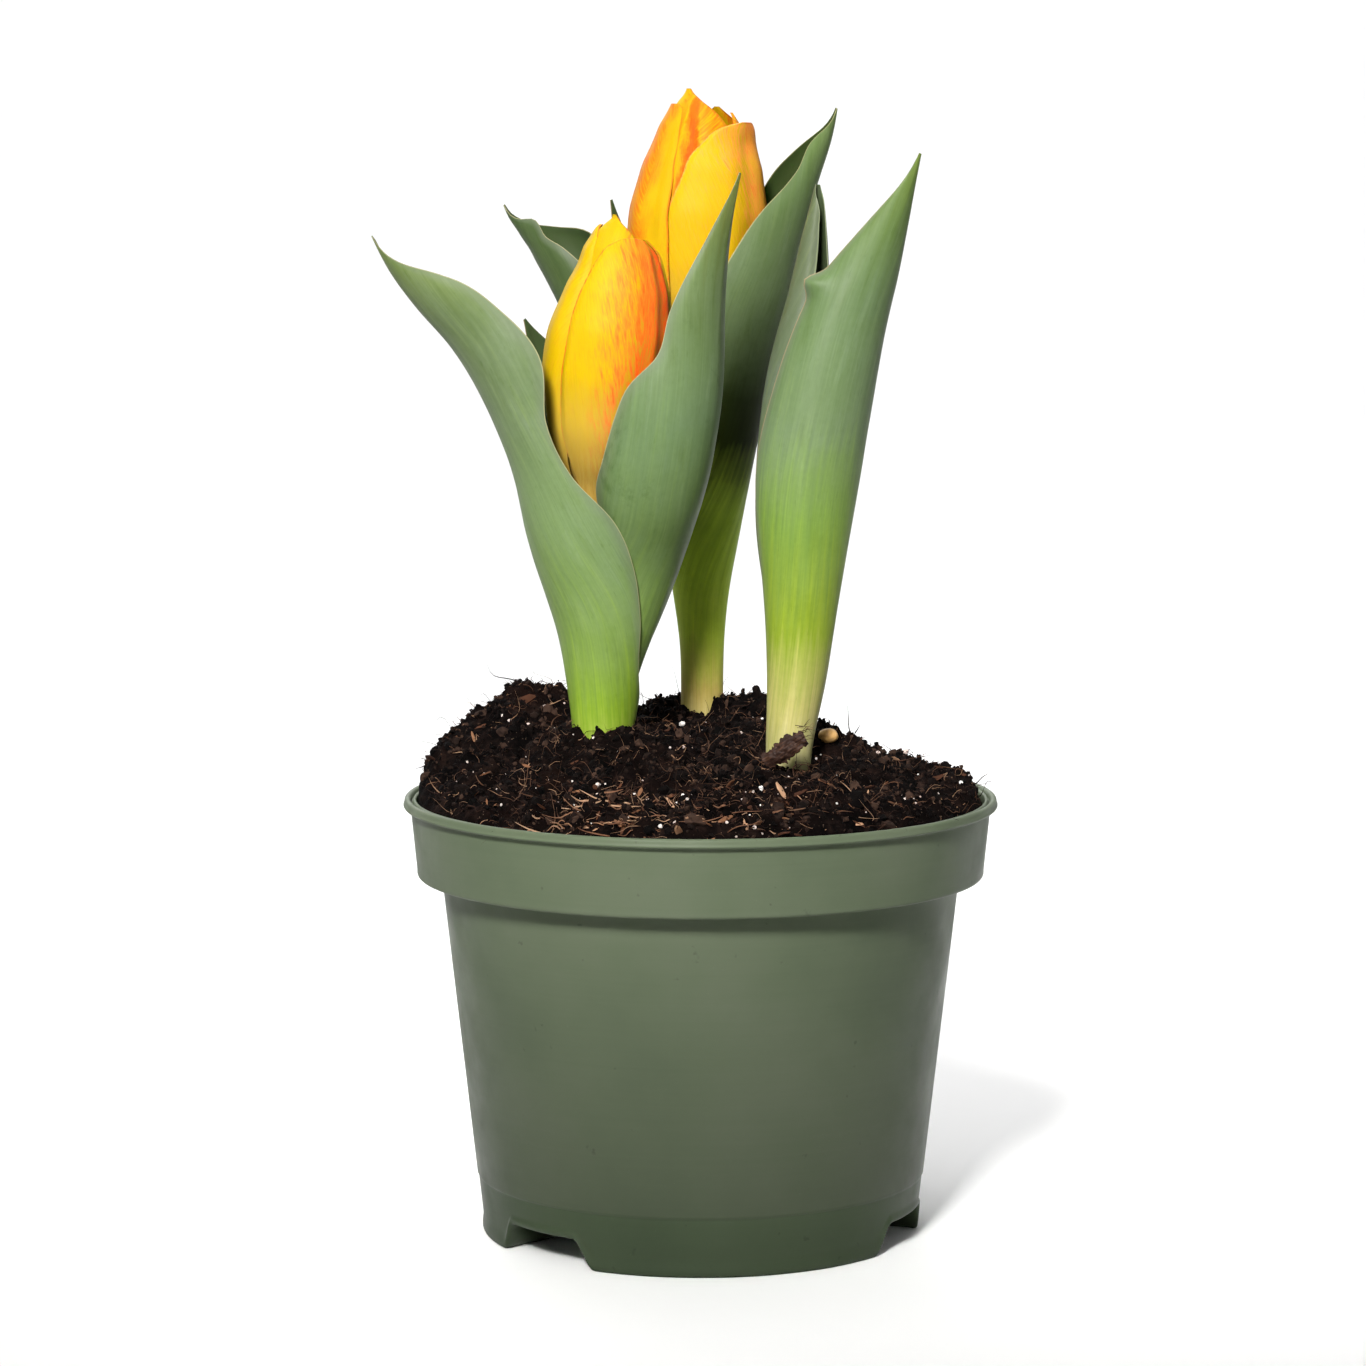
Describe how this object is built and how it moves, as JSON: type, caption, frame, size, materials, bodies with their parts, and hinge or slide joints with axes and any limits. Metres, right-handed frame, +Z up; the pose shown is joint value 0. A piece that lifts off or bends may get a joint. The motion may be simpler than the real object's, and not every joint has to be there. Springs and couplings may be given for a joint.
{
  "type": "potted tulip",
  "caption": "Tulips in yellow bud with broad curling grey-green leaves, growing in peat in a round tapered nursery pot with a stepped rim and drainage feet.",
  "frame": {"origin": "middle of the pot's underside, on the pot's axis, at the surface it stands on", "axes": "+Z up along the pot's axis, -Y towards the front, where the single plants stand left and right, and +X to the right"},
  "size_m": [0.1245, 0.12, 0.2301],
  "materials": {
    "pot": "satin",
    "soil": "matte",
    "leaf": "satin",
    "stem": "satin",
    "petal": "satin",
    "bud": "satin",
    "stamen": "matte",
    "bulb": "satin",
    "pebble": "matte"
  },
  "bodies": {
    "root": {"pot": "pot", "soil": "soil", "bulb_a": "bulb", "bulb_b": "bulb", "bulb_c": "bulb", "stem_a": "stem", "stem_b": "stem", "stem_c": "stem", "leaf_a_left": "leaf", "leaf_a_right": "leaf", "leaf_a_small": "leaf", "leaf_b_right": "leaf", "leaf_b_left": "leaf", "leaf_b_small": "leaf", "leaf_c_front": "leaf", "leaf_c_back": "leaf", "petal_a_outer_1": "petal", "petal_a_outer_2": "petal", "petal_a_outer_3": "petal", "petal_a_inner_1": "petal", "petal_a_inner_2": "petal", "petal_a_inner_3": "petal", "petal_b_outer_1": "petal", "petal_b_outer_2": "petal", "petal_b_outer_3": "petal", "petal_b_inner_1": "petal", "petal_b_inner_2": "petal", "petal_b_inner_3": "petal", "pistil_a": "bud", "stamen_a_1": "stamen", "stamen_a_2": "stamen", "stamen_a_3": "stamen", "stamen_a_4": "stamen", "stamen_a_5": "stamen", "stamen_a_6": "stamen", "pistil_b": "bud", "stamen_b_1": "stamen", "stamen_b_2": "stamen", "stamen_b_3": "stamen", "stamen_b_4": "stamen", "stamen_b_5": "stamen", "stamen_b_6": "stamen", "bud_c": "bud", "bulb_skin_scrap": "bulb", "pebble": "pebble"}
  },
  "joints": []
}
